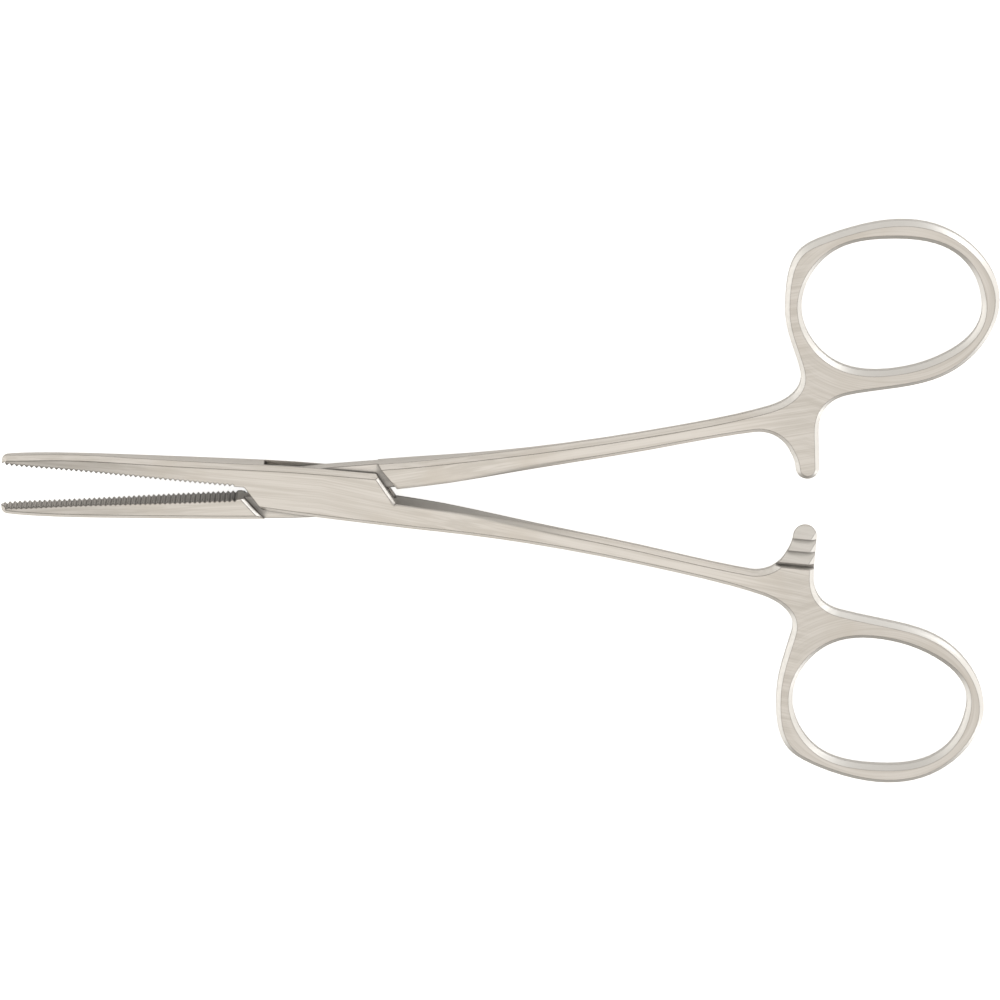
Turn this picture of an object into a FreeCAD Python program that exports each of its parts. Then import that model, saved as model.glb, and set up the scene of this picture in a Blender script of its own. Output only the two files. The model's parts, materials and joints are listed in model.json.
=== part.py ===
import FreeCAD, Part
import Sketcher
import math
import os
import re

# Straight box-lock forceps, lying flat and partly open.
# X runs from the jaws to the rings, Y across, Z up. The hinge pin's axis is at X = Y = 0,
# and Z = 0 is the flat underside of the box.
# Both halves share one form, drawn with the jaw below the closing line Y = 0 and the shank
# above it. The box half is that form turned over about X.

SIZES = {
    # Opening, as it lies, and the plain stock of the box
    "opening": 7.8,
    "box_thickness": 4.9,
    # Jaw: reach from the pin, width at stations from tip to box, and setback of the face
    "tip_reach": 44.5,
    "tip_front": 0.4,
    "tip_corner": 0.73,
    "tip_width": 1.22,
    "jaw_fore_reach": 38.0,
    "jaw_fore_width": 1.86,
    "jaw_middle_reach": 25.0,
    "jaw_middle_width": 2.58,
    "jaw_root_reach": 12.0,
    "jaw_root_width": 3.14,
    "face_relief": 0.1,
    # Thickness of the jaw, measured from the middle plane
    "tip_half": 1.15,
    "tip_slope": 0.4,
    "jaw_fore_half": 1.585,
    "jaw_middle_half": 2.04,
    # Serrations across the jaw face
    "tooth_pitch": 0.69,
    "tooth_depth": 0.33,
    "tooth_land": 0.05,
    "tooth_count": 47,
    "tooth_start": 0.45,
    # Box lock: outline, slanted ends, slot and tongue
    "box_half_width": 3.5,
    "box_front_width": 3.1,
    "box_flat_reach": 11.0,
    "front_cheek_reach": 7.88,
    "front_cheek_slant": 48.2,
    "rear_cheek_reach": 8.0,
    "rear_cheek_slant": 51.1,
    "front_shoulder_reach": 8.28,
    "front_shoulder_slant": 50.5,
    "rear_shoulder_reach": 8.75,
    "rear_shoulder_slant": 53.5,
    "end_bevel": 0.42,
    "slot_height": 2.34,
    "slot_radius": 8.8,
    "slide_clearance": 0.05,
    "swing_clearance": 0.1,
    # Hinge pin, riveted flush in countersinks
    "pin_radius": 1.3,
    "rivet_flare": 0.45,
    "pin_clearance": 0.05,
    # Shank: places of the inner and outer edges
    "crotch_height": 0.35,
    "wall_stock": 0.7,
    "wall_middle_reach": 20.0,
    "wall_middle_height": 0.98,
    "wall_end_reach": 30.0,
    "wall_end_height": 1.96,
    "inner_middle_reach": 45.0,
    "inner_middle_height": 3.76,
    "inner_end_reach": 60.5,
    "inner_end_height": 5.8,
    "outer_first_reach": 20.0,
    "outer_first_height": 4.24,
    "outer_second_reach": 40.0,
    "outer_second_height": 5.86,
    "outer_third_reach": 50.0,
    "outer_third_height": 7.11,
    "neck_reach": 62.5,
    "neck_height": 9.3,
    "waist_reach": 67.15,
    "waist_height": 14.2,
    # Thickness of the shank and the ring, measured from the middle plane
    "taper_middle_reach": 20.0,
    "taper_middle_half": 1.9,
    "taper_end_reach": 40.0,
    "shank_half": 1.3,
    "thin_end_reach": 58.0,
    "bow_start_reach": 72.0,
    "bow_half": 1.5,
    # Finger ring: centre and size on each half, reach of the hole at the compass points, and the band
    "tongue_ring_x": 80.02,
    "tongue_ring_scale": 1.0,
    "box_ring_x": 80.32,
    "box_ring_scale": 0.978,
    "ring_y": 23.2,
    "ring_east": 12.5,
    "ring_northeast": 10.97,
    "ring_north": 9.33,
    "ring_northwest": 11.05,
    "ring_west": 12.4,
    "ring_southwest": 11.15,
    "ring_south": 9.28,
    "ring_southeast": 10.36,
    "band_east": 2.5,
    "band_northeast": 2.34,
    "band_north": 2.5,
    "band_northwest": 2.4,
    "band_west": 2.27,
    "band_south": 2.66,
    "band_southeast": 2.64,
    # Long bevel on every rim, across the flat and down the side
    "rim_across": 0.62,
    "rim_down": 0.95,
    # Ratchet bar and its teeth
    "bar_left": 66.0,
    "bar_right": 69.35,
    "bar_end": 0.4,
    "bar_taper": 0.05,
    "bar_root_left": 65.2,
    "bar_root_height": 3.1,
    "bar_shoulder": 5.2,
    "bar_blend_reach": 73.6,
    "bar_blend_height": 10.55,
    "ratchet_count": 3,
    "ratchet_first": 0.84,
    "ratchet_pitch": 1.79,
    "ratchet_depth": 0.7,
    "ratchet_crest": 0.25,
    "ratchet_wall": 4.81,
    "ratchet_side": 64.0,
    "ratchet_flank": 0.85,
    "ratchet_flare": 0.12,
}

# Directions, in degrees from +X towards +Y, in which the smooth edges of a half run
HEADINGS = {
    "wall_start": 1,
    "wall_cut_start": 4,
    "wall_end": 6.8,
    "inner_end": 5,
    "bar_down": -88,
    "bar_blend": 10,
    "ring_west": -92.5,
    "ring_leaves": -80,
    "neck": 193.5,
    "box_front": 184,
}

BEYOND = 1              # how far a cutting sketch runs past the metal
NEAR = 0.5              # how far from its own line an edge of a rim can lie
BROAD_TILT = 0.7        # Z of a broad face's normal is more than this
SAME_PLACE = 1e-6
LEAST_CUT = 0.01        # a feature that takes away less than this has missed


def make_sheet(document):
    sheet = document.addObject("Spreadsheet::Sheet", "sizes")
    for row, (name, value) in enumerate(SIZES.items(), start=1):
        sheet.set(f"A{row}", name)
        sheet.set(f"B{row}", str(value))
        sheet.setAlias(f"B{row}", name)
    document.recompute()
    return sheet


doc = FreeCAD.newDocument("forceps")
sizes = make_sheet(doc)


def bound(formula):
    """Write a formula of size names as one that reads the sheet."""
    pattern = r"\b(" + "|".join(SIZES) + r")\b"
    return re.sub(pattern, r"sizes.\1", formula)


def value(formula):
    return float(sizes.evalExpression(bound(formula)))


def point(x, y):
    return FreeCAD.Vector(x, y, 0)


def direction(degrees):
    turn = math.radians(degrees)
    return point(math.cos(turn), math.sin(turn))


class Outline:
    """A closed outline drawn end to end. Its corners are formulas of the sheet's names."""

    def __init__(self, x, y, heading=0):
        self.corners = [(x, y)]
        self.curves = []
        self.here = point(value(x), value(y))
        self.way = direction(heading)

    def finish_curve(self, curve, x, y, way):
        self.curves.append(curve)
        self.corners.append((x, y))
        self.here = point(value(x), value(y))
        self.way = way
        return self

    def line(self, x, y):
        end = point(value(x), value(y))
        return self.finish_curve(Part.LineSegment(self.here, end), x, y, (end - self.here).normalize())

    def arc(self, x, y):
        """An arc that leaves along the last direction."""
        end = point(value(x), value(y))
        normal = point(-self.way.y, self.way.x)
        chord = end - self.here
        radius = chord.dot(chord) / (2 * chord.dot(normal))
        centre = self.here + normal * radius
        side = math.copysign(1, radius)
        first = math.atan2(self.here.y - centre.y, self.here.x - centre.x)
        sweep = (math.atan2(end.y - centre.y, end.x - centre.x) - first) * side % (2 * math.pi) * side
        halfway = first + sweep / 2
        middle = centre + point(math.cos(halfway), math.sin(halfway)) * abs(radius)
        leaving = point(-math.sin(first + sweep), math.cos(first + sweep)) * side
        return self.finish_curve(Part.Arc(self.here, middle, end), x, y, leaving)

    def arc_through(self, middle_x, middle_y, x, y):
        end = point(value(x), value(y))
        middle = point(value(middle_x), value(middle_y))
        return self.finish_curve(Part.Arc(self.here, middle, end), x, y, self.way)

    def spline(self, through, x, y, heading):
        """A smooth curve that leaves along the last direction and arrives at a heading."""
        end = point(value(x), value(y))
        points = [self.here] + [point(*place) for place in through] + [end]
        curve = Part.BSplineCurve()
        curve.interpolate(Points=points, InitialTangent=self.way, FinalTangent=direction(heading))
        return self.finish_curve(curve, x, y, direction(heading))

    def turn(self, heading):
        self.way = direction(heading)
        return self


def origin_plane(body, role):
    return next(item for item in body.Origin.OriginFeatures if item.Role == role)


def fix(sketch, kind, *where, formula):
    index = sketch.addConstraint(Sketcher.Constraint(kind, *where, value(formula)))
    sketch.setExpression(f"Constraints[{index}]", bound(formula))


def new_sketch(body, name, role, offset=None):
    sketch = body.newObject("Sketcher::SketchObject", name)
    sketch.AttachmentSupport = [(origin_plane(body, role), "")]
    sketch.MapMode = "FlatFace"
    if offset:
        sketch.AttachmentOffset = offset
    return sketch


def draw_outline(sketch, outline):
    """Add a closed outline, join its curves and tie each corner to the sheet."""
    first = sketch.GeometryCount
    for curve in outline.curves:
        sketch.addGeometry(curve, False)
    places = [(value(x), value(y)) for x, y in outline.corners]
    count = len(outline.curves)
    starts = []
    for index in range(count):
        drawn = sketch.getPoint(first + index, 1)
        starts.append(1 if drawn.distanceToPoint(point(*places[index])) < SAME_PLACE else 2)
    for index, (x, y) in enumerate(outline.corners[:-1]):
        following = (index + 1) % count
        join = (first + index, 3 - starts[index], first + following, starts[following])
        sketch.addConstraint(Sketcher.Constraint("Coincident", *join))
        fix(sketch, "DistanceX", -1, 1, first + index, starts[index], formula=x)
        fix(sketch, "DistanceY", -1, 1, first + index, starts[index], formula=y)


def draw_circle(sketch, radius):
    index = sketch.addGeometry(Part.Circle(point(0, 0), FreeCAD.Vector(0, 0, 1), value(radius)), False)
    sketch.addConstraint(Sketcher.Constraint("Coincident", index, 3, -1, 1))
    fix(sketch, "Radius", index, formula=radius)


def pad(body, name, sketch, length):
    feature = body.newObject("PartDesign::Pad", name)
    feature.Profile = sketch
    feature.SideType = "Symmetric"
    feature.setExpression("Length", bound(length))
    doc.recompute()
    return feature


def pocket(body, name, sketch, length=None, side="Symmetric", reverse=False):
    """Cut a pocket and make sure that it took something away."""
    before = body.Shape.Volume
    feature = body.newObject("PartDesign::Pocket", name)
    feature.Profile = sketch
    feature.SideType = side
    feature.Reversed = reverse
    if length:
        feature.setExpression("Length", bound(length))
    else:
        feature.Type = "ThroughAll"
    doc.recompute()
    if body.Shape.Volume > before - LEAST_CUT:
        raise RuntimeError(f"{name} cuts nothing")
    return feature


RING_POINTS = ["east", "northeast", "north", "northwest", "west", "southwest", "south", "southeast"]


def ring_centre(half):
    return point(value(half + "_ring_x"), value("ring_y"))


def ring_place(half, name):
    """A point of the finger hole at one of its compass points."""
    reach = value("ring_" + name) * value(half + "_ring_scale")
    return ring_centre(half) + direction(360 / len(RING_POINTS) * RING_POINTS.index(name)) * reach


def ring_hole(half):
    """The finger hole: one smooth closed curve through its eight compass points."""
    hole = Part.BSplineCurve()
    hole.interpolate([ring_place(half, name) for name in RING_POINTS], PeriodicFlag=True)
    return hole


def ring_rim(half, names):
    """Points of the ring's outer rim, one band outside the hole at the named points."""
    hole = ring_hole(half)
    rim = []
    for name in names:
        inner = ring_place(half, name)
        tangent = hole.tangent(hole.parameter(inner))[0]
        rim.append(inner + point(tangent.y, -tangent.x) * value("band_" + name))
    return [(place.x, place.y) for place in rim]


def line_reach(name, side, y):
    """X of one of the box's slanted ends at a height Y. It stands off the pin by its reach."""
    across = "+" if name.endswith("cheek") else "-"
    along = "-" if side == "front" else ""
    line = f"{side}_{name}"
    return f"{along}{line}_reach/sin({line}_slant) {across} ({y})/tan({line}_slant)"


def arc_reach(radius, y):
    return f"sqrt(({radius})^2 - ({y})^2)"


TONGUE_RADIUS = "slot_radius - swing_clearance"
STOCK_HEIGHT = "crotch_height - wall_stock"
CROTCH = line_reach("cheek", "rear", "crotch_height")


def cheek_rear(plan):
    plan.line(line_reach("cheek", "rear", "-box_half_width"), "-box_half_width")
    plan.line(line_reach("cheek", "rear", STOCK_HEIGHT), STOCK_HEIGHT)


def cheek_front(plan, shank):
    end = line_reach("cheek", "front", "box_front_width")
    plan.spline(shank, end, "box_front_width", HEADINGS["box_front"])
    plan.line(line_reach("cheek", "front", "-face_relief"), "-face_relief")


def tongue_rear(plan):
    plan.line(arc_reach(TONGUE_RADIUS, "box_half_width"), "-box_half_width")
    plan.arc_through(TONGUE_RADIUS, "0", arc_reach(TONGUE_RADIUS, "crotch_height"), "crotch_height")
    plan.line(CROTCH, "crotch_height")
    plan.line(CROTCH, STOCK_HEIGHT)


def tongue_front(plan, shank):
    high = "-" + arc_reach(TONGUE_RADIUS, "box_front_width")
    middle = "-" + arc_reach(TONGUE_RADIUS, "box_front_width/2")
    low = "-" + arc_reach(TONGUE_RADIUS, "face_relief")
    plan.spline(shank, high, "box_front_width", HEADINGS["box_front"])
    plan.arc_through(middle, "box_front_width/2", low, "-face_relief")


def half_outline(half, rear, front):
    """The plan of one half, from the jaw tip round by the box, the shank and the ring."""
    plan = Outline("-tip_reach", "0", -90)
    plan.line("-tip_reach", "-tip_front")
    plan.arc("-tip_reach + tip_corner", "-tip_width")
    jaw = [(-value(f"jaw_{part}_reach"), -value(f"jaw_{part}_width")) for part in ("fore", "middle", "root")]
    plan.spline(jaw, "0", "-box_half_width", 0)
    rear(plan)
    plan.turn(HEADINGS["wall_start"])
    plan.spline([], "wall_end_reach", "wall_end_height", HEADINGS["wall_end"])
    inner = [(value("inner_middle_reach"), value("inner_middle_height"))]
    plan.spline(inner, "inner_end_reach", "inner_end_height", HEADINGS["inner_end"])
    plan.arc("bar_root_left", "bar_root_height")
    plan.spline([], "bar_left", "bar_end", HEADINGS["bar_down"])
    plan.arc("bar_right - bar_taper", "bar_end")
    plan.line("bar_right", "bar_shoulder")
    plan.spline([], "bar_blend_reach", "bar_blend_height", HEADINGS["bar_blend"])
    rim = ring_rim(half, ["south", "southeast", "east", "northeast", "north", "northwest"])
    west = f"{half}_ring_x - ring_west*{half}_ring_scale - band_west"
    plan.spline(rim, west, "ring_y", HEADINGS["ring_west"])
    plan.spline([], "waist_reach", "waist_height", HEADINGS["ring_leaves"])
    plan.spline([], "neck_reach", "neck_height", HEADINGS["neck"])
    shank = [
        (value(f"outer_{part}_reach"), value(f"outer_{part}_height"))
        for part in ("third", "second", "first")
    ]
    front(plan, shank + [(0, value("box_half_width"))])
    plan.line("-tip_reach", "0")
    return plan


def side_outline():
    """What is cut off above one half, seen from the side."""
    beyond = "box_ring_x + ring_east + 2*band_east"
    before = f"-tip_reach - {BEYOND}"
    side = Outline(before, "tip_half - tip_slope")
    side.line("-tip_reach", "tip_half")
    jaw = [(-value(f"jaw_{part}_reach"), value(f"jaw_{part}_half")) for part in ("fore", "middle")]
    side.spline(jaw, "-box_flat_reach", "box_thickness/2", 0)
    side.line("box_flat_reach", "box_thickness/2")
    taper = [(value("taper_middle_reach"), value("taper_middle_half"))]
    side.spline(taper, "taper_end_reach", "shank_half", 0)
    side.line("thin_end_reach", "shank_half")
    side.spline([], "bow_start_reach", "bow_half", 0)
    side.line(beyond, "bow_half")
    side.line(beyond, "box_thickness")
    side.line(before, "box_thickness")
    side.line(before, "tip_half - tip_slope")
    return side


def mirrored(body, name, cut):
    """Repeat a cut on the other side of the middle plane."""
    before = body.Shape.Volume
    feature = body.newObject("PartDesign::Mirrored", name)
    feature.Originals = [cut]
    feature.MirrorPlane = (origin_plane(body, "XY_Plane"), [""])
    body.Tip = feature
    doc.recompute()
    if body.Shape.Volume > before - LEAST_CUT:
        raise RuntimeError(f"{name} cuts nothing")


def middle_of(face):
    low_u, high_u, low_v, high_v = face.ParameterRange
    return (low_u + high_u) / 2, (low_v + high_v) / 2


def cap_edges(shape, wanted):
    """Edges between a broad face and a side wall whose middle point is wanted."""
    found = []
    for index, edge in enumerate(shape.Edges, start=1):
        faces = shape.ancestorsOfType(edge, Part.Face)
        if len(faces) != 2:
            continue
        tilts = [abs(face.normalAt(*middle_of(face)).z) > BROAD_TILT for face in faces]
        place = edge.valueAt((edge.FirstParameter + edge.LastParameter) / 2)
        if tilts[0] != tilts[1] and wanted(place):
            found.append((index, tilts[0], place))
    return found


def bevel_rims(body, half, name):
    """Run the long bevel round the jaw and box, the shank and bow, and the finger hole."""
    shape = body.Tip.Shape
    jaw_end = value("-box_flat_reach")
    centre = ring_centre(half)
    hole = value("ring_east") + NEAR

    def across_hole(place):
        return point(place.x, place.y).distanceToPoint(centre)

    regions = [
        lambda place: place.x < jaw_end and place.y < -value("face_relief") - NEAR,
        lambda place: place.x > value("wall_end_reach") and across_hole(place) > hole,
        lambda place: across_hole(place) < hole,
    ]
    edges = []
    for region in regions:
        for side in (1, -1):
            chain = [edge for edge in cap_edges(shape, region) if edge[2].z * side > 0 and edge[1]]
            if not chain:
                raise RuntimeError(f"{name} finds no rim")
            edges.append(f"Edge{chain[0][0]}")
    bevel(body, name, edges, "rim_across", "rim_down")


def bevel(body, name, edges, across, down):
    before = body.Shape.Volume
    base = body.Tip
    feature = body.newObject("PartDesign::Chamfer", name)
    feature.Base = (base, edges)
    feature.ChamferType = "Two distances"
    feature.setExpression("Size", bound(across))
    feature.setExpression("Size2", bound(down))
    doc.recompute()
    if body.Shape.isNull() or body.Shape.Volume > before - LEAST_CUT:
        raise RuntimeError(f"{name} cuts nothing")


def bevel_end(body, end, kind, facing, start=None):
    """Bevel one slanted end of the box above and below, away from the pin or towards it."""
    line = f"{end}_{kind}"
    reach = line + "_reach"
    inward = "" if kind == "cheek" else "-"
    along = f"({start})" if start else "0"
    turn = f"create(<<rotation>>; create(<<vector>>; 0; 1; 0); {facing})"
    shift = f"create(<<vector>>; {along}*sin({facing}); 0; {along}*cos({facing}))"
    sketch = new_sketch(body, line + "_bevel", "XZ_Plane")
    sketch.setExpression("AttachmentOffset", bound(f"create(<<placement>>; {shift}; {turn})"))
    triangle = Outline(f"{reach} - {inward}2*end_bevel", "box_thickness/2 + end_bevel")
    triangle.line(f"{reach} + {inward}end_bevel", "box_thickness/2 - 2*end_bevel")
    triangle.line(f"{reach} + {inward}end_bevel", "box_thickness/2 + end_bevel")
    triangle.line(f"{reach} - {inward}2*end_bevel", "box_thickness/2 + end_bevel")
    draw_outline(sketch, triangle)
    if start:
        cut = pocket(body, f"upper_{line}_bevel", sketch, side="One side", reverse=True)
    else:
        cut = pocket(body, f"upper_{line}_bevel", sketch)
    mirrored(body, f"lower_{line}_bevel", cut)


def bevel_cheek(body):
    slant = "rear_cheek_slant"
    crotch = f"-(({CROTCH})*cos({slant}) + crotch_height*sin({slant}))"
    bevel_end(body, "rear", "cheek", f"({slant} - 90)", crotch)


def bevel_shoulder(body):
    bevel_end(body, "front", "shoulder", "(270 - front_shoulder_slant)")


def straighten_wall(body, foot):
    """Cut the shank's inner edge back to a plain wall beside the box."""
    sketch = new_sketch(body, "wall_line", "XY_Plane")
    wall = Outline(CROTCH, "crotch_height", HEADINGS["wall_cut_start"])
    middle = [(value("wall_middle_reach"), value("wall_middle_height"))]
    wall.spline(middle, "wall_end_reach", "wall_end_height", HEADINGS["wall_end"])
    wall.line("wall_end_reach", "-box_half_width")
    wall.line(foot, "-box_half_width")
    wall.line(CROTCH, "crotch_height")
    draw_outline(sketch, wall)
    pocket(body, "plain_wall", sketch)


def cut_slot(body):
    """The slot between the two cheeks, which the tongue passes through."""
    sketch = new_sketch(body, "slot_plan", "XY_Plane")
    beyond = "box_front_width + box_half_width"
    low = "face_relief - slide_clearance"
    slot = Outline("-tip_reach/3", f"-({low})")
    slot.line("-" + arc_reach("slot_radius", low), f"-({low})")
    slot.arc_through(
        "-" + arc_reach("slot_radius", "box_half_width/2"), "-box_half_width/2",
        "-" + arc_reach("slot_radius", "box_half_width + rim_across"), "-box_half_width - rim_across",
    )
    slot.line("-" + arc_reach("slot_radius", "box_half_width + rim_across"), f"-({beyond})")
    slot.line("tip_reach/3", f"-({beyond})")
    slot.line("tip_reach/3", "crotch_height")
    slot.line(arc_reach("slot_radius", "crotch_height"), "crotch_height")
    slot.arc_through(
        arc_reach("slot_radius", "box_half_width/2"), "box_half_width/2",
        arc_reach("slot_radius", "box_half_width + rim_across"), "box_half_width + rim_across",
    )
    slot.line(arc_reach("slot_radius", "box_half_width + rim_across"), beyond)
    slot.line("-tip_reach/3", beyond)
    slot.line("-tip_reach/3", f"-({low})")
    draw_outline(sketch, slot)
    pocket(body, "slot", sketch, "slot_height")


def cut_shoulders(body):
    """Thin the box down to the tongue between its two slanted shoulders."""
    sketch = new_sketch(body, "shoulder_plan", "XY_Plane")
    sketch.setExpression("AttachmentOffset.Base.z", bound("slot_height/2 - slide_clearance"))
    beyond = "box_front_width + box_half_width"
    below = "-crotch_height - wall_stock"
    plan = Outline(line_reach("shoulder", "front", f"-({beyond})"), f"-({beyond})")
    plan.line(line_reach("shoulder", "front", "face_relief"), "face_relief")
    plan.line(line_reach("shoulder", "front", "face_relief"), beyond)
    plan.line(line_reach("shoulder", "rear", beyond), beyond)
    plan.line(line_reach("shoulder", "rear", below), below)
    plan.line(line_reach("shoulder", "rear", below), f"-({beyond})")
    plan.line(line_reach("shoulder", "front", f"-({beyond})"), f"-({beyond})")
    draw_outline(sketch, plan)
    upper = pocket(body, "upper_recess", sketch, side="One side", reverse=True)
    mirrored(body, "lower_recess", upper)


def cut_teeth(body, shift):
    """Fine grooves straight across the jaw face, each jaw's crests facing the other's grooves."""
    sketch = new_sketch(body, "groove", "XY_Plane")
    sketch.setExpression("AttachmentOffset.Base.x", bound("-tip_reach"))
    slope = bound("-atan(face_relief/(tip_reach - box_flat_reach))")
    sketch.setExpression("AttachmentOffset.Rotation.Angle", slope)
    middle = f"tooth_start + {shift}*tooth_pitch"
    above = "tooth_depth/2"
    reach = f"(tooth_pitch - tooth_land)/2 * (tooth_depth + {above})/tooth_depth"
    groove = Outline(middle, "-tooth_depth")
    groove.line(f"{middle} + {reach}", above)
    groove.line(f"{middle} - {reach}", above)
    groove.line(middle, "-tooth_depth")
    draw_outline(sketch, groove)
    first = pocket(body, "first_groove", sketch)
    row = body.newObject("PartDesign::LinearPattern", "grooves")
    row.Originals = [first]
    row.Direction = (sketch, ["H_Axis"])
    row.setExpression("Length", bound("tooth_pitch*(tooth_count - 1)"))
    row.setExpression("Occurrences", bound("tooth_count"))
    body.Tip = row
    doc.recompute()


def cut_ratchet(body):
    """Sawteeth along the bar, and the slope on its flank beside the ring."""
    sketch = new_sketch(body, "ratchet_profile", "YZ_Plane")
    sketch.setExpression("AttachmentOffset.Base.z", bound("ratchet_side"))
    beyond = "ratchet_first - 2*ratchet_pitch"
    root = "ratchet_depth - ratchet_crest"
    teeth = Outline(beyond, root)
    teeth.line("ratchet_first - ratchet_pitch", root)
    for step in range(int(value("ratchet_count"))):
        crest = f"ratchet_first + {step}*ratchet_pitch"
        teeth.line(crest, "-ratchet_crest")
        teeth.line(crest, root)
    teeth.line("ratchet_wall", root)
    teeth.line("ratchet_wall", "-box_thickness")
    teeth.line(beyond, "-box_thickness")
    teeth.line(beyond, root)
    draw_outline(sketch, teeth)
    pocket(body, "ratchet", sketch, f"bar_right - ratchet_side + {BEYOND}", side="One side", reverse=True)

    sketch = new_sketch(body, "flank_profile", "XZ_Plane")
    sketch.setExpression("AttachmentOffset.Base.z", bound("-ratchet_wall"))
    flank = Outline("bar_right - ratchet_flank", "-ratchet_crest")
    flank.line("bar_right + ratchet_flare", root)
    flank.line("bar_right + ratchet_flare", "-box_thickness")
    flank.line("bar_right - ratchet_flank", "-box_thickness")
    flank.line("bar_right - ratchet_flank", "-ratchet_crest")
    draw_outline(sketch, flank)
    pocket(body, "ratchet_slope", sketch, "ratchet_wall + ratchet_pitch", side="One side", reverse=True)


def pin_profile(sketch):
    """Half section of the pin: a plain shank between two flared ends."""
    top = "box_thickness/2"
    neck = "box_thickness/2 - rivet_flare"
    section = Outline("0", f"-{top}")
    section.line("pin_radius + rivet_flare", f"-{top}")
    section.line("pin_radius", f"-({neck})")
    section.line("pin_radius", neck)
    section.line("pin_radius + rivet_flare", top)
    section.line("0", top)
    section.line("0", f"-{top}")
    draw_outline(sketch, section)


def bore_for_pin(body):
    """The cheeks' bore with a countersink at each end, the same form as the pin."""
    before = body.Shape.Volume
    sketch = new_sketch(body, "bore_section", "XZ_Plane")
    pin_profile(sketch)
    groove = body.newObject("PartDesign::Groove", "pin_bore")
    groove.Profile = sketch
    groove.ReferenceAxis = (sketch, ["V_Axis"])
    doc.recompute()
    if body.Shape.Volume > before - LEAST_CUT:
        raise RuntimeError("pin_bore cuts nothing")


def make_half(half, rear, front, foot):
    name = half + "_half"
    body = doc.addObject("PartDesign::Body", name)
    body.Label = name
    plan = new_sketch(body, "plan", "XY_Plane")
    draw_outline(plan, half_outline(half, rear, front))
    plan.addGeometry(ring_hole(half), False)
    pad(body, "blank", plan, "box_thickness")
    side = new_sketch(body, "side_profile", "XZ_Plane")
    draw_outline(side, side_outline())
    mirrored(body, "lower_taper", pocket(body, "upper_taper", side))
    bevel_rims(body, half, "rim_bevel")
    straighten_wall(body, foot)
    return body


doc.recompute()
box_half = make_half("box", cheek_rear, cheek_front, line_reach("cheek", "rear", "-box_half_width"))
cut_slot(box_half)
bevel_cheek(box_half)
bore_for_pin(box_half)
cut_teeth(box_half, 0)
cut_ratchet(box_half)
turned = "create(<<rotation>>; -sizes.opening/2; 0; 180)"
lifted = "create(<<vector>>; 0; 0; sizes.box_thickness/2)"
box_half.setExpression("Placement", f"create(<<placement>>; {lifted}; {turned})")

tongue_half = make_half("tongue", tongue_rear, tongue_front, CROTCH)
cut_shoulders(tongue_half)
bevel_shoulder(tongue_half)
bore = new_sketch(tongue_half, "bore_circle", "XY_Plane")
draw_circle(bore, "pin_radius + pin_clearance")
pocket(tongue_half, "pin_bore", bore)
cut_teeth(tongue_half, 0.5)
cut_ratchet(tongue_half)
swung = "create(<<rotation>>; create(<<vector>>; 0; 0; 1); sizes.opening/2)"
tongue_half.setExpression("Placement", f"create(<<placement>>; {lifted}; {swung})")

pivot_pin = doc.addObject("PartDesign::Body", "pivot_pin")
pivot_pin.Label = "pivot_pin"
section = new_sketch(pivot_pin, "pin_section", "XZ_Plane")
pin_profile(section)
turning = pivot_pin.newObject("PartDesign::Revolution", "pin_form")
turning.Profile = section
turning.ReferenceAxis = (section, ["V_Axis"])
pivot_pin.setExpression("Placement", f"create(<<placement>>; {lifted}; create(<<rotation>>; 0; 0; 0))")

doc.recompute()
for item in doc.Objects:
    if "Invalid" in item.State or "Error" in item.State:
        raise RuntimeError(f"{item.Name} did not build")
os.makedirs("parts", exist_ok=True)
for body in (box_half, tongue_half, pivot_pin):
    if body.Shape.isNull() or not body.Shape.isValid():
        raise RuntimeError(f"{body.Label} is not a sound solid")
    body.Shape.exportStep(f"parts/{body.Label}.step")
    print(body.Label, round(body.Shape.Volume, 1), len(body.Shape.Faces), len(body.Shape.Solids))
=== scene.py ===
import json
import math

import bpy
from mathutils import Matrix, Vector


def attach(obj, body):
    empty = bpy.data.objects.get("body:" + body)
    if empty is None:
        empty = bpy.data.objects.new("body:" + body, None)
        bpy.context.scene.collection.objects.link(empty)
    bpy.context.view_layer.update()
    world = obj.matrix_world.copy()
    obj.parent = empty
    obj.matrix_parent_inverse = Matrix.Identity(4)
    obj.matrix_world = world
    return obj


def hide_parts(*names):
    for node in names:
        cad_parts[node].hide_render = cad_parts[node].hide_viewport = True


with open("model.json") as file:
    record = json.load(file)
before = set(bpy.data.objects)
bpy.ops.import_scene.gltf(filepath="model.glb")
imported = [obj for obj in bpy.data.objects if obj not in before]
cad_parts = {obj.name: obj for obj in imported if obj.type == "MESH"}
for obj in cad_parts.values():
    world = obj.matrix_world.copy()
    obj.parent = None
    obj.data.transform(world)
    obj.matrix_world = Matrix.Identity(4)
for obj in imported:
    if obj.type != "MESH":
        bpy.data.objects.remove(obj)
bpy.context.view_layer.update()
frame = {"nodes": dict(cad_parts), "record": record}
print("frame loaded:", ", ".join(sorted(frame["nodes"])))


# Small helpers for node trees

def setSocket(tree, socket, source):
    if isinstance(source, bpy.types.NodeSocket):
        tree.links.new(source, socket)
    elif source is not None:
        socket.default_value = source


def mathNode(tree, operation, first=None, second=None, third=None):
    node = tree.nodes.new("ShaderNodeMath")
    node.operation = operation
    for index, source in enumerate((first, second, third)):
        setSocket(tree, node.inputs[index], source)
    return node.outputs[0]


def product(tree, first, *others):
    for other in others:
        first = mathNode(tree, "MULTIPLY", first, other)
    return first


def oneMinus(tree, source):
    return mathNode(tree, "SUBTRACT", 1.0, source)


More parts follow.
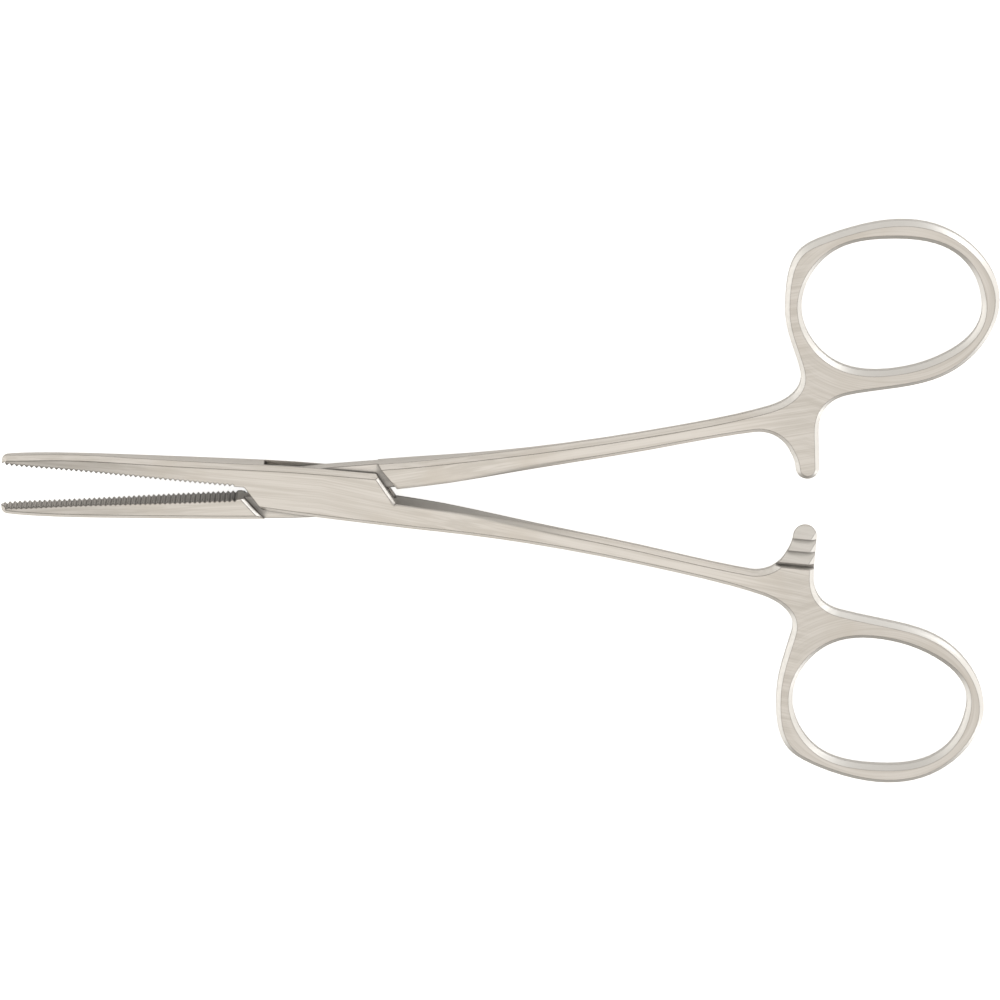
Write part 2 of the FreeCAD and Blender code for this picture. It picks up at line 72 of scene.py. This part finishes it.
def ramp(tree, source, fromMin, fromMax, toMin=0.0, toMax=1.0, kind="SMOOTHSTEP"):
    node = tree.nodes.new("ShaderNodeMapRange")
    node.interpolation_type = kind
    places = ("Value", "From Min", "From Max", "To Min", "To Max")
    for place, value in zip(places, (source, fromMin, fromMax, toMin, toMax)):
        setSocket(tree, node.inputs[place], value)
    return node.outputs["Result"]


def between(tree, share, first, second):
    return ramp(tree, share, 0.0, 1.0, first, second, "LINEAR")


def vectorNode(tree, operation, first, second=None):
    node = tree.nodes.new("ShaderNodeVectorMath")
    node.operation = operation
    for index, source in enumerate((first, second)):
        setSocket(tree, node.inputs[index], source)
    return node.outputs


def joined(tree, x=0.0, y=0.0, z=0.0):
    node = tree.nodes.new("ShaderNodeCombineXYZ")
    for index, source in enumerate((x, y, z)):
        setSocket(tree, node.inputs[index], source)
    return node.outputs[0]


def split(tree, vector):
    node = tree.nodes.new("ShaderNodeSeparateXYZ")
    setSocket(tree, node.inputs[0], vector)
    return node.outputs[0], node.outputs[1], node.outputs[2]


def noise(tree, vector, detail, scale=1.0, depth=None):
    node = tree.nodes.new("ShaderNodeTexNoise")
    setSocket(tree, node.inputs["Vector"], vector)
    if depth is not None:
        node.noise_dimensions = "4D"
        setSocket(tree, node.inputs["W"], depth)
    setSocket(tree, node.inputs["Scale"], scale)
    node.inputs["Detail"].default_value = detail
    return node.outputs[0]


def blend(tree, amount, first, second, mode="MIX"):
    node = tree.nodes.new("ShaderNodeMix")
    node.data_type = "RGBA"
    node.blend_type = mode
    for index, source in ((0, amount), (6, first), (7, second)):
        setSocket(tree, node.inputs[index], source)
    return node.outputs[2]


def newGroup(name, inputs, outputs):
    group = bpy.data.node_groups.new(name, "ShaderNodeTree")
    for label, kind, value in inputs:
        socket = group.interface.new_socket(label, in_out="INPUT", socket_type="NodeSocket" + kind)
        socket.default_value = value
    for label, kind in outputs:
        group.interface.new_socket(label, in_out="OUTPUT", socket_type="NodeSocket" + kind)
    entry = group.nodes.new("NodeGroupInput")
    leave = group.nodes.new("NodeGroupOutput")
    return group, entry.outputs, leave.inputs


def placeGroup(tree, group, values):
    node = tree.nodes.new("ShaderNodeGroup")
    node.node_tree = group
    for label, source in values.items():
        setSocket(tree, node.inputs[label], source)
    return node.outputs


# Belt-ground grain: it runs along the jaw and shank of a half and round its finger ring

beltGrain = {
    "detail": 3.0,
    "leastReach": 0.001,    # keeps the middle of the ring from a division by nothing
    "ringX": 0.08,
    "ringY": 0.023,
    "ringSquash": 1.33,     # how much longer than wide the ring is
    "ringStretch": 0.15,    # how long the scratches are round the ring, against the straight ones
    "neckFrom": 0.066,      # where the straight grain gives way to the curved
    "neckTo": 0.071,
    "shankSlope": 0.12,
    "length": 60.0,
    "fineness": 4000.0,
}


def makeBeltGrain():
    group, given, result = newGroup(
        "beltGrain",
        [
            ("Vector", "Vector", (0, 0, 0)),
            ("Turn", "Float", 0.0),
            ("Side", "Float", 1.0),
            ("Ring X", "Float", beltGrain["ringX"]),
            ("Ring Y", "Float", beltGrain["ringY"]),
            ("Ring squash", "Float", beltGrain["ringSquash"]),
            ("Ring stretch", "Float", beltGrain["ringStretch"]),
            ("Neck from", "Float", beltGrain["neckFrom"]),
            ("Neck to", "Float", beltGrain["neckTo"]),
            ("Shank slope", "Float", beltGrain["shankSlope"]),
            ("Length", "Float", beltGrain["length"]),
            ("Fineness", "Float", beltGrain["fineness"]),
        ],
        [("Grain", "Float"), ("Along", "Float"), ("Across", "Float")],
    )
    turned = group.nodes.new("ShaderNodeVectorRotate")
    turned.rotation_type = "Z_AXIS"
    setSocket(group, turned.inputs["Vector"], given["Vector"])
    setSocket(group, turned.inputs["Angle"], given["Turn"])
    x, y, z = split(group, turned.outputs[0])
    y = product(group, y, given["Side"])
    length, fineness = given["Length"], given["Fineness"]
    deep = product(group, z, fineness)

    centreLine = product(group, mathNode(group, "MAXIMUM", x, 0.0), given["Shank slope"])
    across = mathNode(group, "SUBTRACT", y, centreLine)
    straight = noise(
        group, joined(group, product(group, x, length), product(group, across, fineness), deep),
        beltGrain["detail"])

    ringX = mathNode(group, "SUBTRACT", x, given["Ring X"])
    ringY = mathNode(group, "SUBTRACT", y, given["Ring Y"])
    ringY = product(group, ringY, given["Ring squash"])
    squares = mathNode(group, "ADD", product(group, ringX, ringX), product(group, ringY, ringY))
    reach = mathNode(group, "MAXIMUM", mathNode(group, "SQRT", squares), beltGrain["leastReach"])
    about = mathNode(group, "DIVIDE", product(group, length, given["Ring X"]), reach)
    about = product(group, about, given["Ring stretch"])
    curved = noise(
        group, joined(group, product(group, ringX, about), product(group, ringY, about),
                      product(group, reach, fineness)),
        beltGrain["detail"], depth=deep)

    neck = ramp(group, x, given["Neck from"], given["Neck to"])
    mixed = mathNode(
        group, "ADD", product(group, straight, oneMinus(group, neck)), product(group, curved, neck))
    group.links.new(mixed, result["Grain"])
    group.links.new(x, result["Along"])
    group.links.new(across, result["Across"])
    return group


# A rolled side: a bevel's shading normal is lifted as if it were ground as part of a round, and the
# straight wall below it is rougher and coloured darker on its middle and lower part, a painted shade

rolledSide = {
    "roll": 0.6,            # how far up the flattest part of the round looks
    "parting": 0.1,         # below this slope it is the straight wall
    "wallTop": 0.6,         # the wall's slopes, as shares of the parting
    "wallBottom": -0.4,
    "undersideFrom": -3.5,
    "undersideTo": -5.0,
    "leastReach": 0.000001,
}


def makeRolledSide():
    group, given, result = newGroup(
        "rolledSide",
        [
            ("Normal", "Vector", (0, 0, 1)),
            ("Roll", "Float", rolledSide["roll"]),
            ("Parting", "Float", rolledSide["parting"]),
        ],
        [("Dull shaded wall", "Float"), ("Normal", "Vector")],
    )
    x, y, z = split(group, given["Normal"])
    parting = given["Parting"]
    upright = mathNode(group, "ABSOLUTE", z)
    rolled = product(group, ramp(group, upright, 0.0, parting), given["Roll"])
    lifted = product(group, mathNode(group, "MAXIMUM", upright, rolled), mathNode(group, "SIGN", z))
    flat = mathNode(group, "MAXIMUM", oneMinus(group, product(group, lifted, lifted)), 0.0)
    reach = mathNode(group, "MAXIMUM", oneMinus(group, product(group, z, z)), rolledSide["leastReach"])
    shrink = mathNode(
        group, "DIVIDE", mathNode(group, "SQRT", flat), mathNode(group, "SQRT", reach))
    turned = joined(group, product(group, x, shrink), product(group, y, shrink), lifted)
    group.links.new(turned, result["Normal"])

    slopes = {name: product(group, parting, rolledSide[name])
              for name in ("wallTop", "wallBottom", "undersideFrom", "undersideTo")}
    # painted shade: mask for the darker wall colour, also used for the duller roughness
    wall = product(
        group, ramp(group, z, slopes["wallTop"], slopes["wallBottom"]),
        ramp(group, z, slopes["undersideTo"], slopes["undersideFrom"]))
    group.links.new(wall, result["Dull shaded wall"])
    return group


# Satin steel. Lengths are in metres, and a pair gives where a tone starts and where it is full

satinSteel = {
    "face": (0.86, 0.825, 0.79, 1),
    "shade": (0.765, 0.73, 0.685, 1),     # between the scratches
    "shadeFrom": 0.40,
    "shadeTo": 0.60,
    "stain": (0.77, 0.725, 0.67, 1),      # faint brown clouds
    "stainSize": 110.0,
    "stainDetail": 3.0,
    "stainReach": (0.48, 0.78),
    "scratchShare": 0.5,
    "scratchLength": 90.0,
    "scratchFineness": 5200.0,
    "streakShare": 0.5,
    "streakLength": 28.0,
    "streakFineness": 1500.0,
    "roughLow": 0.28,
    "roughHigh": 0.44,
    "bumpStrength": 0.35,
    "bumpDepth": 0.000012,
    "halfTurn": 3.9,                      # degrees each half is opened by, as it lies
    "flatSlope": (0.90, 0.97),
    "endSlope": (0.25, 0.5),              # bevels that look along the part
    "nearSlope": (-0.30, -0.70),          # bevels that look to the near side
}

sides = {
    "roll": 0.66,
    "polishedRoll": 0.76,                 # on the rings and the ends of the box
    "parting": 0.1,
    # painted shade: the darker colour of the straight walls
    "wall": (0.74, 0.715, 0.69, 1),
    "wallRough": 0.5,
    # painted highlight: near-white colour for the bevels that face along the part
    "endBevelHighlight": (0.98, 0.97, 0.96, 1),
}

rings = {
    "face": (0.058, 0.068),
    "faceTone": 0.92,
    "lineShare": 0.45,                    # share of the painted shade line left on the rings' far-side surfaces, whose ridges are rounder
    "bevel": (0.86, 0.85, 0.835, 1),
    # painted shade: ring bevels that face the near side are coloured darker
    "nearBevelShade": (0.50, 0.485, 0.465, 1),
}

jaws = {
    "face": (-0.012, -0.038),
    "teeth": (-0.012, -0.0125),
    "toothTipShade": (0.16, 0.155, 0.15, 1),   # painted shade, darker tips of the teeth
    "toothTipReach": (0.00044, 0.00010),
}

edges = {
    "samples": 8,
    "radius": 0.00018,
    "bend": (0.02, 0.21),
    # painted shade: the colours the dark edge line multiplies in, darker on the jaws
    "tone": (0.42, 0.41, 0.40, 1),
    "jawTone": (0.30, 0.29, 0.28, 1),
    "pinFlush": (0.0022, 0.0026),         # the pin's rim is ground away
}

# the straight wall beside the box has a rounder rim, coloured darker as painted shade
softRim = {
    "radius": 0.0007,
    "start": (0.009, 0.011),
    "end": (0.040, 0.026),
    "across": (0.0004, -0.0002),
    "slope": (0.985, 0.80),
    "tone": (0.60, 0.58, 0.555, 1),
}

# Painted shade in hollows: an occlusion test within each piece colours its creases, grooves and gaps
# darker
creviceShade = {
    "samples": 8,
    "reach": 0.0011,
    "light": (0.92, 0.60),
    "tone": (0.34, 0.33, 0.32, 1),
    "airyShare": 0.60,                    # how much of it is left between teeth and on the rings
}

# each half's own values: where its ring is, which way round it lies and how much darker its jaw's face
# is coloured
halves = {
    "tongue_half": {"turn": -1.0, "side": 1.0, "ring": (0.0800, 0.0232), "jawTone": 0.80},
    "box_half": {"turn": 1.0, "side": -1.0, "ring": (0.0803, 0.0232), "jawTone": 0.66},
}


def makeGrain(tree, place, half, grainGroup, length, fineness):
    return placeGroup(tree, grainGroup, {
        "Vector": place,
        "Turn": math.radians(satinSteel["halfTurn"]) * half["turn"],
        "Side": half["side"],
        "Ring X": half["ring"][0],
        "Ring Y": half["ring"][1],
        "Length": length,
        "Fineness": fineness,
    })


# Masks for the places of a half that are ground differently or get painted light and shade
def makeZones(tree, place, facing, along, across):
    own = tree.nodes.new("ShaderNodeVectorTransform")
    own.vector_type = "NORMAL"
    own.convert_from = "WORLD"
    own.convert_to = "OBJECT"
    tree.links.new(facing, own.inputs[0])
    endward, nearward, upward = split(tree, own.outputs[0])
    endwardOnly = mathNode(tree, "ABSOLUTE", endward)
    x, y = split(tree, place)[:2]
    fromPin = vectorNode(tree, "LENGTH", joined(tree, x, y, 0.0))["Value"]
    toothReach = mathNode(tree, "ABSOLUTE", across)

    zones = {
        "flat": ramp(tree, mathNode(tree, "ABSOLUTE", upward), *satinSteel["flatSlope"]),
        "near": ramp(tree, nearward, *satinSteel["nearSlope"]),
        "jaw": ramp(tree, x, *jaws["face"]),
        "teeth": ramp(tree, x, *jaws["teeth"]),
        "ring": ramp(tree, along, *rings["face"]),
        "offPin": ramp(tree, fromPin, *edges["pinFlush"]),
    }
    zones["slanted"] = oneMinus(tree, zones["flat"])
    zones["offJaw"] = oneMinus(tree, zones["jaw"])
    zones["end"] = product(tree, zones["offJaw"], ramp(tree, endwardOnly, *satinSteel["endSlope"]))
    zones["polished"] = mathNode(tree, "MAXIMUM", zones["ring"], zones["end"])
    zones["airy"] = mathNode(tree, "MAXIMUM", zones["teeth"], zones["ring"])
    # painted shade on the tips of the teeth
    zones["toothTipShade"] = product(
        tree, zones["teeth"], ramp(tree, toothReach, *jaws["toothTipReach"]), zones["flat"])
    zones["crotch"] = product(
        tree, ramp(tree, along, *softRim["start"]), ramp(tree, along, *softRim["end"]),
        ramp(tree, across, *softRim["across"]))
    return zones


# The steel's colour from its grain, stains and tones, with the painted shade on the rings' near bevels
# and the painted highlight on the end bevels, before the painted shade of its walls, edges and hollows
def makeGround(tree, place, lines, zones, jawTone):
    shades = ramp(tree, lines, satinSteel["shadeFrom"], satinSteel["shadeTo"])
    ground = blend(tree, shades, satinSteel["shade"], satinSteel["face"])
    cloud = noise(tree, place, satinSteel["stainDetail"], satinSteel["stainSize"])
    ground = blend(tree, ramp(tree, cloud, *satinSteel["stainReach"]), ground, satinSteel["stain"])
    jawFace = product(tree, zones["flat"], zones["jaw"])
    ringFace = product(tree, zones["flat"], zones["ring"])
    tone = product(
        tree, between(tree, jawFace, 1.0, jawTone), between(tree, ringFace, 1.0, rings["faceTone"]))
    ground = blend(tree, 1.0, ground, joined(tree, tone, tone, tone), "MULTIPLY")
    # ring bevels get a cooler tint, and those facing the near side a darker colour, a painted shade
    ringBevel = blend(tree, zones["near"], rings["bevel"], rings["nearBevelShade"])
    ground = blend(tree, product(tree, zones["ring"], zones["slanted"]), ground, ringBevel)
    # painted highlight on the bevels that face along the part, away from the jaws and rings
    endOnly = mathNode(tree, "SUBTRACT", zones["polished"], zones["ring"])
    return blend(tree, product(tree, endOnly, zones["slanted"]), ground, sides["endBevelHighlight"])


# Rounded edges: their normal, and a dark line of painted shade where it bends
def makeEdges(tree, normal, zones):
    edge = tree.nodes.new("ShaderNodeBevel")
    edge.samples = edges["samples"]
    radius = between(tree, zones["crotch"], edges["radius"], softRim["radius"])
    tree.links.new(product(tree, radius, zones["offPin"]), edge.inputs["Radius"])
    tree.links.new(normal, edge.inputs["Normal"])
    rounded = edge.outputs["Normal"]
    bend = vectorNode(tree, "DISTANCE", rounded, normal)["Value"]
    faint = product(tree, zones["ring"], oneMinus(tree, zones["near"]))
    line = product(
        tree, ramp(tree, bend, *edges["bend"]), zones["offPin"], oneMinus(tree, zones["crotch"]),
        between(tree, faint, 1.0, rings["lineShare"]))
    return rounded, line


def makeCreviceShade(tree, zones):
    hollow = tree.nodes.new("ShaderNodeAmbientOcclusion")
    hollow.samples = creviceShade["samples"]
    hollow.inputs["Distance"].default_value = creviceShade["reach"]
    return product(
        tree, zones["offPin"], ramp(tree, hollow.outputs["AO"], *creviceShade["light"]),
        between(tree, zones["airy"], 1.0, creviceShade["airyShare"]))


def makeSatinSteel(name, half, grainGroup, sideGroup):
    material = bpy.data.materials.new(name)
    material.use_nodes = True
    tree = material.node_tree
    shader = tree.nodes["Principled BSDF"]
    shader.inputs["Metallic"].default_value = 1.0
    place = tree.nodes.new("ShaderNodeTexCoord").outputs["Object"]
    facing = tree.nodes.new("ShaderNodeNewGeometry").outputs["Normal"]

    scratch = makeGrain(
        tree, place, half, grainGroup, satinSteel["scratchLength"], satinSteel["scratchFineness"])
    streak = makeGrain(
        tree, place, half, grainGroup, satinSteel["streakLength"], satinSteel["streakFineness"])
    lines = mathNode(
        tree, "ADD", product(tree, scratch["Grain"], satinSteel["scratchShare"]),
        product(tree, streak["Grain"], satinSteel["streakShare"]))
    zones = makeZones(tree, place, facing, scratch["Along"], scratch["Across"])
    side = placeGroup(tree, sideGroup, {
        "Normal": facing,
        "Parting": sides["parting"],
        "Roll": between(tree, zones["polished"], sides["roll"], sides["polishedRoll"]),
    })
    rounded, line = makeEdges(tree, side["Normal"], zones)
    # painted shade on the rounder rim beside the box
    rimShade = product(tree, ramp(tree, split(tree, rounded)[2], *softRim["slope"]), zones["crotch"])

    colour = makeGround(tree, place, lines, zones, half["jawTone"])
    # painted shade on the straight walls
    colour = blend(tree, side["Dull shaded wall"], colour, sides["wall"])
    colour = blend(tree, rimShade, colour, softRim["tone"])
    # painted shade: a dark line along the edges
    edgeLineShade = blend(tree, zones["jaw"], edges["tone"], edges["jawTone"])
    colour = blend(tree, line, colour, blend(tree, 1.0, colour, edgeLineShade, "MULTIPLY"))
    # painted shade on the tips of the teeth
    colour = blend(tree, zones["toothTipShade"], colour, jaws["toothTipShade"])
    # painted shade in the hollows
    colour = blend(tree, makeCreviceShade(tree, zones), colour, creviceShade["tone"])
    tree.links.new(colour, shader.inputs["Base Color"])

    rough = ramp(
        tree, lines, satinSteel["shadeFrom"], satinSteel["shadeTo"],
        satinSteel["roughHigh"], satinSteel["roughLow"], "LINEAR")
    rough = between(tree, side["Dull shaded wall"], rough, sides["wallRough"])
    tree.links.new(rough, shader.inputs["Roughness"])

    bump = tree.nodes.new("ShaderNodeBump")
    bump.inputs["Strength"].default_value = satinSteel["bumpStrength"]
    bump.inputs["Distance"].default_value = satinSteel["bumpDepth"]
    tree.links.new(lines, bump.inputs["Height"])
    tree.links.new(rounded, bump.inputs["Normal"])
    tree.links.new(bump.outputs["Normal"], shader.inputs["Normal"])
    return material


# Skins: each piece's surface, welded, smooth along its curves and crisp at its folds

groundSkin = {
    "weldDistance": 0.000001,
    "crispAngle": 20.0,     # degrees; a sharper fold than this stays a crisp edge
}


def link(tree, start, startSocket, end, endSocket):
    tree.links.new(start.outputs[startSocket], end.inputs[endSocket])


def makeGroundSkin():
    tree = bpy.data.node_groups.new("groundSkin", "GeometryNodeTree")
    tree.is_modifier = True
    for label, kind in (("Geometry", "Geometry"), ("Weld distance", "Float"),
                        ("Crisp angle", "Float"), ("Finish", "Material")):
        tree.interface.new_socket(label, in_out="INPUT", socket_type="NodeSocket" + kind)
    tree.interface.new_socket("Geometry", in_out="OUTPUT", socket_type="NodeSocketGeometry")
    entry = tree.nodes.new("NodeGroupInput")
    leave = tree.nodes.new("NodeGroupOutput")
    weld = tree.nodes.new("GeometryNodeMergeByDistance")
    smooth = tree.nodes.new("GeometryNodeSetShadeSmooth")
    crisp = tree.nodes.new("GeometryNodeSetShadeSmooth")
    crisp.domain = "EDGE"
    crisp.inputs["Shade Smooth"].default_value = False
    fold = tree.nodes.new("GeometryNodeInputMeshEdgeAngle")
    sharper = tree.nodes.new("FunctionNodeCompare")
    sharper.operation = "GREATER_THAN"
    real = tree.nodes.new("GeometryNodeRealizeInstances")
    finish = tree.nodes.new("GeometryNodeSetMaterial")
    link(tree, entry, "Weld distance", weld, "Distance")
    link(tree, fold, "Unsigned Angle", sharper, 0)
    link(tree, entry, "Crisp angle", sharper, 1)
    link(tree, sharper, "Result", crisp, "Selection")
    link(tree, entry, "Finish", finish, "Material")
    chain = (entry, weld, smooth, crisp, real, finish, leave)
    for start, end in zip(chain, chain[1:]):
        link(tree, start, "Geometry", end, "Geometry")
    return tree


def setInputs(modifier, tree, values):
    for item in tree.interface.items_tree:
        if item.in_out == "INPUT" and item.name in values:
            modifier[item.identifier] = values[item.name]


def makeSkin(node, tree, material):
    shape = bpy.data.meshes.new(node.name + "Shape")
    corners = [corner.co for corner in node.data.vertices]
    shape.from_pydata(corners, [], [tuple(face.vertices) for face in node.data.polygons])
    raw = bpy.data.objects.new(node.name + "Raw", shape)
    bpy.context.scene.collection.objects.link(raw)
    modifier = raw.modifiers.new("groundSkin", "NODES")
    modifier.node_group = tree
    setInputs(modifier, tree, {
        "Weld distance": groundSkin["weldDistance"],
        "Crisp angle": math.radians(groundSkin["crispAngle"]),
        "Finish": material,
    })
    evaluated = raw.evaluated_get(bpy.context.evaluated_depsgraph_get())
    mesh = bpy.data.meshes.new_from_object(evaluated)
    bpy.data.objects.remove(raw)
    skin = bpy.data.objects.new(node.name + "Skin", mesh)
    bpy.context.scene.collection.objects.link(skin)
    return skin


grainGroup = makeBeltGrain()
sideGroup = makeRolledSide()
skinTree = makeGroundSkin()
finishes = {
    name: makeSatinSteel(name.replace("_half", "") + "HalfSteel", half, grainGroup, sideGroup)
    for name, half in halves.items()
}
finishes["pivot_pin"] = finishes["box_half"]     # ground flush together with the cheeks
for bodyName, nodeNames in frame["record"]["behaviour"]["bodies"].items():
    for nodeName in nodeNames:
        skin = makeSkin(frame["nodes"][nodeName], skinTree, finishes[nodeName])
        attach(skin, bodyName)
        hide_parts(nodeName)
        print("finished", nodeName, len(skin.data.polygons), "faces")


# Floor

floorPaper = {
    "half": 3.0,
    "drop": 0.00002,        # just clear of the underside
    "colour": (0.80, 0.80, 0.795, 1),
    "rough": 0.9,
    "glow": (1, 1, 0.99, 1),
    "liftSeen": 0.8,        # how much whiter the camera sees the floor than its lamps make it
    "liftInMetal": 0.12,    # the same for what the metal reflects
}


def floorLift(tree):
    path = tree.nodes.new("ShaderNodeLightPath")
    seen = product(tree, path.outputs["Is Camera Ray"], floorPaper["liftSeen"])
    mirrored = mathNode(
        tree, "MAXIMUM", path.outputs["Is Glossy Ray"], path.outputs["Is Transmission Ray"])
    return mathNode(tree, "MULTIPLY_ADD", mirrored, floorPaper["liftInMetal"], seen)


def makeFloor():
    half, low = floorPaper["half"], -floorPaper["drop"]
    corners = [(-half, -half, low), (half, -half, low), (half, half, low), (-half, half, low)]
    mesh = bpy.data.meshes.new("floor")
    mesh.from_pydata(corners, [], [(0, 1, 2, 3)])
    floor = bpy.data.objects.new("floor", mesh)
    bpy.context.scene.collection.objects.link(floor)
    material = bpy.data.materials.new("palePaper")
    material.use_nodes = True
    tree = material.node_tree
    shader = tree.nodes["Principled BSDF"]
    shader.inputs["Base Color"].default_value = floorPaper["colour"]
    shader.inputs["Roughness"].default_value = floorPaper["rough"]
    shader.inputs["Emission Color"].default_value = floorPaper["glow"]
    tree.links.new(floorLift(tree), shader.inputs["Emission Strength"])
    mesh.materials.append(material)


# Light tent: a softbox overhead, a darker room below it, a pale horizon and brighter ends

lightTent = {
    "colour": (1.0, 0.965, 0.905, 1),
    "strength": 0.91,
    "softbox": (0.70, 0.92),
    "roomLevel": 0.50,
    "horizon": (0.60, 0.42),
    "horizonLevel": 1.06,
    "ends": (0.60, 0.95),
    "endLevel": 1.25,
    "behind": (0.55, 0.95),
    "behindLevel": 0.85,
}

lamps = {
    "rightFarStrip": {"place": (0.42, 0.40, 0.11), "size": (0.32, 0.12), "power": 0.22},
    "rightNearStrip": {"place": (0.42, -0.40, 0.09), "size": (0.32, 0.12), "power": 0.22},
}

lampTarget = (0.025, 0, 0)


def makeSky():
    world = bpy.data.worlds.new("studio")
    bpy.context.scene.world = world
    world.use_nodes = True
    tree = world.node_tree
    background = tree.nodes["Background"]
    background.inputs["Color"].default_value = lightTent["colour"]
    x, y, z = split(tree, tree.nodes.new("ShaderNodeTexCoord").outputs["Generated"])
    behind = ramp(tree, y, *lightTent["behind"], 1.0, lightTent["behindLevel"])
    softbox = ramp(tree, z, *lightTent["softbox"], lightTent["roomLevel"], 1.0)
    horizon = ramp(tree, z, *lightTent["horizon"], 0.0, lightTent["horizonLevel"])
    ends = ramp(tree, mathNode(tree, "ABSOLUTE", x), *lightTent["ends"], 1.0, lightTent["endLevel"])
    level = product(
        tree, behind, mathNode(tree, "MAXIMUM", softbox, horizon), ends, lightTent["strength"])
    tree.links.new(level, background.inputs["Strength"])


def makeLamp(name, place, size, power):
    data = bpy.data.lights.new(name, "AREA")
    data.shape = "RECTANGLE"
    data.size, data.size_y = size
    data.energy = power
    lamp = bpy.data.objects.new(name, data)
    lamp.location = place
    aim = Vector(lampTarget) - Vector(place)
    lamp.rotation_euler = aim.to_track_quat("-Z", "Y").to_euler()
    bpy.context.scene.collection.objects.link(lamp)


makeFloor()
makeSky()
for lampName, lamp in lamps.items():
    makeLamp(lampName, **lamp)
print("floor and lights ready")


# Camera

photoView = {
    "tilt": 15.0,           # degrees from straight down, towards the far side
    "turn": 1.35,
    "distance": 1.2,
    "frameWidth": 0.139,
    "pivotRight": 0.02488,
    "pivotUp": -0.00132,
    "height": 0.00245,
    "sensorWidth": 36,
    "farthest": 10,
}


def makeCamera():
    tilt = math.radians(photoView["tilt"])
    turn = math.radians(photoView["turn"])
    right = Vector((math.cos(turn), math.sin(turn), 0))
    ahead = Vector((-math.sin(turn), math.cos(turn), 0))
    up = ahead * math.cos(tilt) - Vector((0, 0, 1)) * math.sin(tilt)
    back = right.cross(up)
    target = right * photoView["pivotRight"] + ahead * photoView["pivotUp"] / math.cos(tilt)
    target.z = photoView["height"]
    data = bpy.data.cameras.new("photoCamera")
    data.sensor_width = photoView["sensorWidth"]
    data.lens = data.sensor_width * photoView["distance"] / photoView["frameWidth"]
    data.clip_end = photoView["farthest"]
    camera = bpy.data.objects.new("photoCamera", data)
    place = Matrix((right, up, back)).transposed().to_4x4()
    place.translation = target + back * photoView["distance"]
    camera.matrix_world = place
    bpy.context.scene.collection.objects.link(camera)
    bpy.context.scene.camera = camera


makeCamera()
bpy.context.scene.view_settings.view_transform = "Standard"
print("camera ready")
